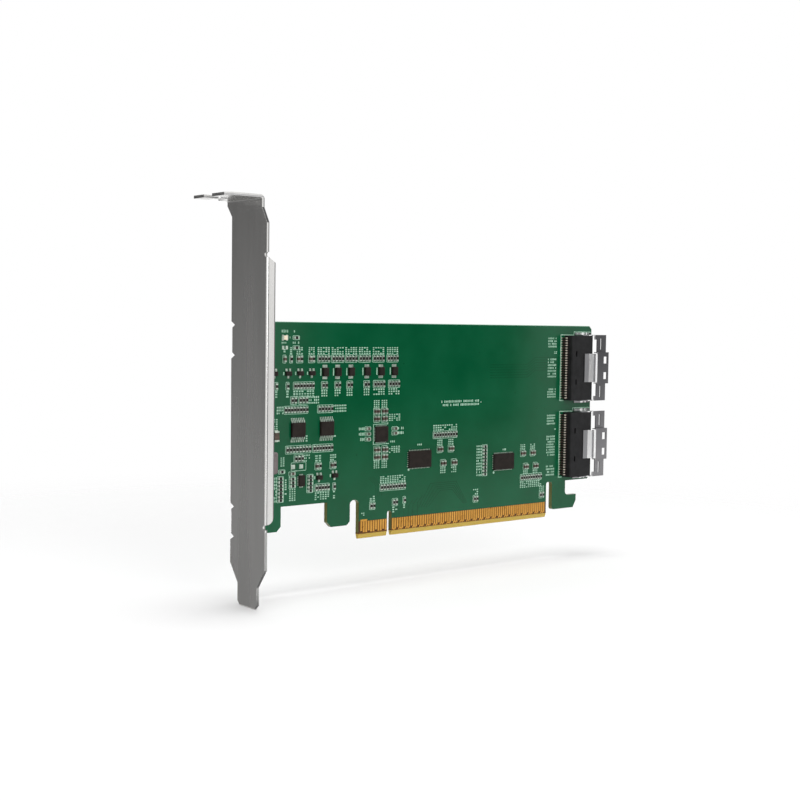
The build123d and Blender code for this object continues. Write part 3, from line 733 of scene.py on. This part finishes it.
def outline_box(group):
    """The printed outline of a group of chips."""
    wide, tall = outline_end, outline_side
    if group[0].upright:
        wide, tall = tall, wide
    return (min(chip.left for chip in group) - wide, max(chip.right for chip in group) + wide,
            min(chip.low for chip in group) - tall, max(chip.high for chip in group) + tall)


def label_box(box, side, length):
    """Where the marks of a group of chips go, beside its outline."""
    x0, x1, z0, z1 = box
    return {
        "above": (x0, x1, z1, z1 + length),
        "below": (x0, x1, z0 - length, z0),
        "left": (x0 - length, x0, z0, z1),
        "right": (x1, x1 + length, z0, z1),
    }[side]


def add_label(shape, box):
    """The marks of one group of chips, on the side that the first rule gives."""
    x, z = middle_of(box)
    for x0, x1, z0, z1, side, length in label_rules:
        if x0 < x < x1 and z0 < z < z1:
            add_marks(shape, label_box(box, side, length), side in ("above", "below"))
            return


def chip_groups():
    """Outlines round the groups of chips, their marks, and the solder at each end."""
    chips = [with_terminals(body) for name in ("chip_resistors", "chip_capacitors")
             for body in solids_of(name)]
    outlines, labels, solder = bmesh.new(), bmesh.new(), bmesh.new()
    for chip in chips:
        add_solder(solder, chip)
    for group in groups_of(chips):
        box = outline_box(group)
        add_frame(outlines, box, outline_corner, outline_width)
        add_label(labels, box)
    new_piece("group_outlines", outlines, "print")
    new_piece("group_marks", labels, "print")
    new_piece("chip_solder", solder, "solder_tin")


# Larger parts and connectors

def body_outlines():
    """Printed outlines, polarity bars, dots and marks of the larger parts."""
    shape = bmesh.new()
    add_frame(shape, empty_place_outline, outline_corner, outline_width)
    x0, x1, z0, z1 = controller_outline
    tick = x1 - controller_tick
    add_line(shape, [(tick, z1 + controller_tick_rise), (tick, z1), (x0, z1), (x0, z0), (x1, z0)],
             controller_line, print_height)
    for name in ("transistors", "diodes"):
        for body in solids_of(name):
            bar = (body.left - polarity_reach[0], body.left - polarity_reach[1],
                   body.low + polarity_inset, body.high - polarity_inset)
            add_block(shape, bar, 0, print_height)
    for x, z in first_pin_dots:
        add_disc(shape, x, z, dot_radius, 0, print_height)
    for box in level_marks:
        add_marks(shape, box)
    for box in turned_marks:
        add_marks(shape, box, turned=True)
    for row in connector_mark_rows:
        add_marks(shape, (*connector_mark_sides, *row))
    new_piece("body_outlines", shape, "print")


def connector_outlines():
    """Heavy printed lines left of the two rows of tails, turned in above and below."""
    shape = bmesh.new()
    for low, high in connector_rows:
        add_line(shape, [(tail_line_head, high), (tail_line_x, high), (tail_line_x, low),
                         (tail_line_foot, low)], tail_line_width, print_height)
        add_line(shape, [(tail_line_head, high), (tail_line_head, high + ledge_rise),
                         (ledge_end, high + ledge_rise)], ledge_width, print_height)
    new_piece("connector_outlines", shape, "print")


def add_rims(shape, body, pitch):
    """The ends of the terminals that show all round a flat chip."""
    wide = int((body.right - body.left - 2 * rim_margin) / pitch) + 1
    tall = int((body.high - body.low - 2 * rim_margin) / pitch) + 1
    x, z = middle_of(body)
    for place in range(wide):
        at = x + (place - (wide - 1) / 2) * pitch
        for low, high in ((body.low - rim_reach, body.low + rim_under),
                          (body.high - rim_under, body.high + rim_reach)):
            add_block(shape, (at - rim_half, at + rim_half, low, high), 0, rim_height)
    for place in range(tall):
        at = z + (place - (tall - 1) / 2) * pitch
        for left, right in ((body.left - rim_reach, body.left + rim_under),
                            (body.right - rim_under, body.right + rim_reach)):
            add_block(shape, (left, right, at - rim_half, at + rim_half), 0, rim_height)


def bare_pads():
    """Pads with no part on them, pads that show round a part, and the flat chips' rims."""
    shape = bmesh.new()
    for box in empty_pads:
        add_block(shape, box, 0, pad_height)
    for name, pitch in rim_pitches.items():
        add_rims(shape, solids_of(name)[0], pitch)
    for name in ("ceramic_capacitor_caps", "indicator_light_caps", "diode_tabs",
                 "transistor_leads", "power_inductor_pads"):
        for body in solids_of(name):
            box = (body.left - pad_side, body.right + pad_side, body.low - pad_end,
                   body.high + pad_end)
            add_block(shape, box, 0, pad_height)
    for lead in solids_of("logic_chip_leads"):
        outer = lead.high if lead.high > logic_middle else lead.low
        box = (lead.left, lead.right, outer - lead_pad_below, outer + lead_pad_above)
        add_block(shape, box, 0, pad_height)
    new_piece("bare_pads", shape, "solder_tin")


def tail_solder():
    """A bead of solder at the foot of each connector tail, and at each shell foot."""
    shape = bmesh.new()
    for name in ("upper_connector_tails", "lower_connector_tails"):
        for tail in solids_of(name):
            box = (tail.left - bead_left, tail.left + bead_right, tail.low, tail.high)
            add_block(shape, box, 0, bead_height)
    for name in ("upper_connector_shell", "lower_connector_shell"):
        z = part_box(name)[1][2] / MM - shell_foot_below_top
        for place in range(shell_foot_count):
            add_disc(shape, shell_foot_x + place * shell_foot_pitch, z, shell_foot_radius,
                     shell_foot, shell_foot + shell_foot_rise)
    new_piece("tail_solder", shape, "solder_tin")


# Copper and contacts

def board_copper(name, side, seed, hole_count):
    """Traces and plugged holes that show faintly under the mask of one face."""
    places = random.Random(seed)
    shape = bmesh.new()
    for points, steps, count, width in trace_runs:
        for trace in range(count):
            moved = [(x + trace * step_x, z + trace * step_z)
                     for (x, z), (step_x, step_z) in zip(points, steps)]
            add_line(shape, moved, width, copper_height, side)
    for _ in range(hole_count):
        x, z = places.uniform(*hole_sides), places.uniform(*hole_heights)
        add_disc(shape, x, z, hole_radius, 0, copper_height, side)
    new_piece(name, shape, "trace")


def finger_details():
    """The bar that joins the first three contacts, and feet in two of every three gaps."""
    shape = bmesh.new()
    add_block(shape, finger_bar, 0, finger_bar_height)
    for gap in range(gap_count):
        if gap % 3 != 1:
            x = first_gap + gap * contact_pitch
            box = (x - finger_foot_half, x + finger_foot_half, bevel_top + finger_foot_reach[0],
                   bevel_top + finger_foot_reach[1])
            add_block(shape, box, 0, finger_foot_height)
    new_piece("finger_details", shape, "contact_gold")


def finger_band():
    """The dark line above the bevel, on both sides of the key notch."""
    shape = bmesh.new()
    for left, right in ((tongue_left, -key_half), (key_half, tongue_right)):
        add_block(shape, (left, right, bevel_top, bevel_top + bevel_line), 0, finger_band_height)
    new_piece("finger_band", shape, "bevel_band")


chip_groups()
body_outlines()
connector_outlines()
bare_pads()
tail_solder()
finger_details()
finger_band()
board_copper("front_copper", FRONT, front_seed, front_holes)
board_copper("back_copper", BACK, back_seed, back_holes)


# Studio

def seen_by(tree, kinds):
    """1 for rays of the given kinds, and 0 for others."""
    path = tree.nodes.new("ShaderNodeLightPath")
    seen = path.outputs[kinds[0]]
    for kind in kinds[1:]:
        seen = number(tree, "MAXIMUM", seen, path.outputs[kind])
    return seen


def empty_material(name):
    """A material with its output and no shader yet."""
    material = bpy.data.materials.new(name)
    material.use_nodes = True
    tree = material.node_tree
    tree.nodes.clear()
    return material, tree, tree.nodes.new("ShaderNodeOutputMaterial")


def flat_sheet(name, matrix):
    """A square of one metre, placed and sized by a matrix."""
    mesh = bpy.data.meshes.new(name)
    shape = bmesh.new()
    bmesh.ops.create_grid(shape, x_segments=1, y_segments=1, size=0.5, matrix=matrix)
    shape.to_mesh(mesh)
    shape.free()
    sheet = bpy.data.objects.new(name, mesh)
    bpy.context.scene.collection.objects.link(sheet)
    return sheet


def place_camera():
    """A camera that sees the card as the photograph does."""
    data = bpy.data.cameras.new("camera")
    data.lens = camera_lens
    data.sensor_width = camera_sensor
    data.clip_start = camera_near
    camera = bpy.data.objects.new("camera", data)
    turn = (Matrix.Rotation(-math.radians(camera_yaw), 4, "Z")
            @ Matrix.Rotation(math.radians(90 - camera_pitch), 4, "X")
            @ Matrix.Rotation(math.radians(camera_roll), 4, "Z"))
    camera.matrix_world = Matrix.Translation(Vector(camera_place) * MM) @ turn
    bpy.context.scene.collection.objects.link(camera)
    bpy.context.scene.camera = camera


def place_floor():
    """Pale paper that keeps the card's shadow and fades out away from it."""
    size = Matrix.Diagonal((2 * floor_half, 2 * floor_half, 1, 1))
    floor = flat_sheet("studio_floor", Matrix.Translation((0, 0, floor_z)) @ size)
    material, tree, out = empty_material("floor_paper")
    link = tree.links.new
    diffuse = tree.nodes.new("ShaderNodeBsdfDiffuse")
    diffuse.inputs["Color"].default_value = (floor_grey, floor_grey, floor_grey, 1)
    glow = tree.nodes.new("ShaderNodeEmission")
    seen = seen_by(tree, ("Is Camera Ray", "Is Glossy Ray"))
    link(number(tree, "MULTIPLY", seen, floor_glow), glow.inputs["Strength"])
    paper = tree.nodes.new("ShaderNodeAddShader")
    link(diffuse.outputs["BSDF"], paper.inputs[0])
    link(glow.outputs["Emission"], paper.inputs[1])
    coords = tree.nodes.new("ShaderNodeTexCoord")
    away = tree.nodes.new("ShaderNodeVectorMath")
    away.operation = "LENGTH"
    link(coords.outputs["Object"], away.inputs[0])
    fade = tree.nodes.new("ShaderNodeMapRange")
    fade.interpolation_type = "SMOOTHSTEP"
    fade.inputs["From Min"].default_value = floor_fade[0]
    fade.inputs["From Max"].default_value = floor_fade[1]
    link(away.outputs["Value"], fade.inputs["Value"])
    clear = tree.nodes.new("ShaderNodeBsdfTransparent")
    blend = tree.nodes.new("ShaderNodeMixShader")
    link(fade.outputs["Result"], blend.inputs["Fac"])
    link(paper.outputs["Shader"], blend.inputs[1])
    link(clear.outputs["BSDF"], blend.inputs[2])
    link(blend.outputs["Shader"], out.inputs["Surface"])
    floor.data.materials.append(material)


def light_world():
    """White for the camera, mirrors and glass, and soft light for everything else."""
    world = bpy.data.worlds.new("studio")
    bpy.context.scene.world = world
    world.use_nodes = True
    tree = world.node_tree
    background = tree.nodes["Background"]
    background.inputs["Color"].default_value = (1, 1, 1, 1)
    level = tree.nodes.new("ShaderNodeMapRange")
    level.inputs["To Min"].default_value = world_light
    level.inputs["To Max"].default_value = 1
    seen = seen_by(tree, ("Is Camera Ray", "Is Glossy Ray", "Is Transmission Ray"))
    tree.links.new(seen, level.inputs["Value"])
    tree.links.new(level.outputs["Result"], background.inputs["Strength"])


def place_lamp(name, place, target, size, power):
    """A round soft lamp that faces a point."""
    data = bpy.data.lights.new(name, "AREA")
    data.shape = "DISK"
    data.size = size
    data.energy = power
    lamp = bpy.data.objects.new(name, data)
    lamp.location = place
    lamp.rotation_euler = (Vector(target) - Vector(place)).to_track_quat("-Z", "Y").to_euler()
    bpy.context.scene.collection.objects.link(lamp)


def place_card(name, place, facing, size, tones, heights):
    """A studio card that only reflections see, whose tone changes between two heights."""
    turn = Vector(facing).to_track_quat("Z", "Y").to_matrix().to_4x4()
    card = flat_sheet(name, Matrix.Translation(place) @ turn @ Matrix.Diagonal((*size, 1, 1)))
    material, tree, out = empty_material(name)
    glow = tree.nodes.new("ShaderNodeEmission")
    coords = tree.nodes.new("ShaderNodeTexCoord")
    split = tree.nodes.new("ShaderNodeSeparateXYZ")
    tone = tree.nodes.new("ShaderNodeMapRange")
    tone.inputs["From Min"].default_value = heights[0]
    tone.inputs["From Max"].default_value = heights[1]
    tone.inputs["To Min"].default_value = tones[0]
    tone.inputs["To Max"].default_value = tones[1]
    tree.links.new(coords.outputs["Object"], split.inputs["Vector"])
    tree.links.new(split.outputs["Z"], tone.inputs["Value"])
    tree.links.new(tone.outputs["Result"], glow.inputs["Strength"])
    tree.links.new(glow.outputs["Emission"], out.inputs["Surface"])
    card.data.materials.append(material)
    card.visible_camera = False
    card.visible_diffuse = False
    card.visible_shadow = False


place_camera()
place_floor()
light_world()
place_lamp("top_lamp", place=(0.02, -0.02, 0.9), target=(0.02, 0, 0.04), size=0.38, power=5.0)
place_lamp("front_lamp", place=(-0.1, -0.85, 0.3), target=(0.02, 0, 0.04), size=0.5, power=3.0)
place_card("side_card", place=(-0.33, 0.38, 0.48), facing=(0.6, -0.75, 0), size=(1.6, 0.99),
           tones=(0.25, 0.03), heights=(0, 0.4))
place_card("floor_card", place=(-0.36, 0.3, -0.0147), facing=(0, 0, 1), size=(0.62, 0.66),
           tones=(0.28, 0.28), heights=(0, 1))
place_card("front_card", place=(0.081, -0.08, 0.09), facing=(0, 1, 0), size=(0.122, 0.208),
           tones=(0.95, 0.02), heights=(-0.005, 0.036))

bpy.context.scene.view_settings.view_transform = "Standard"
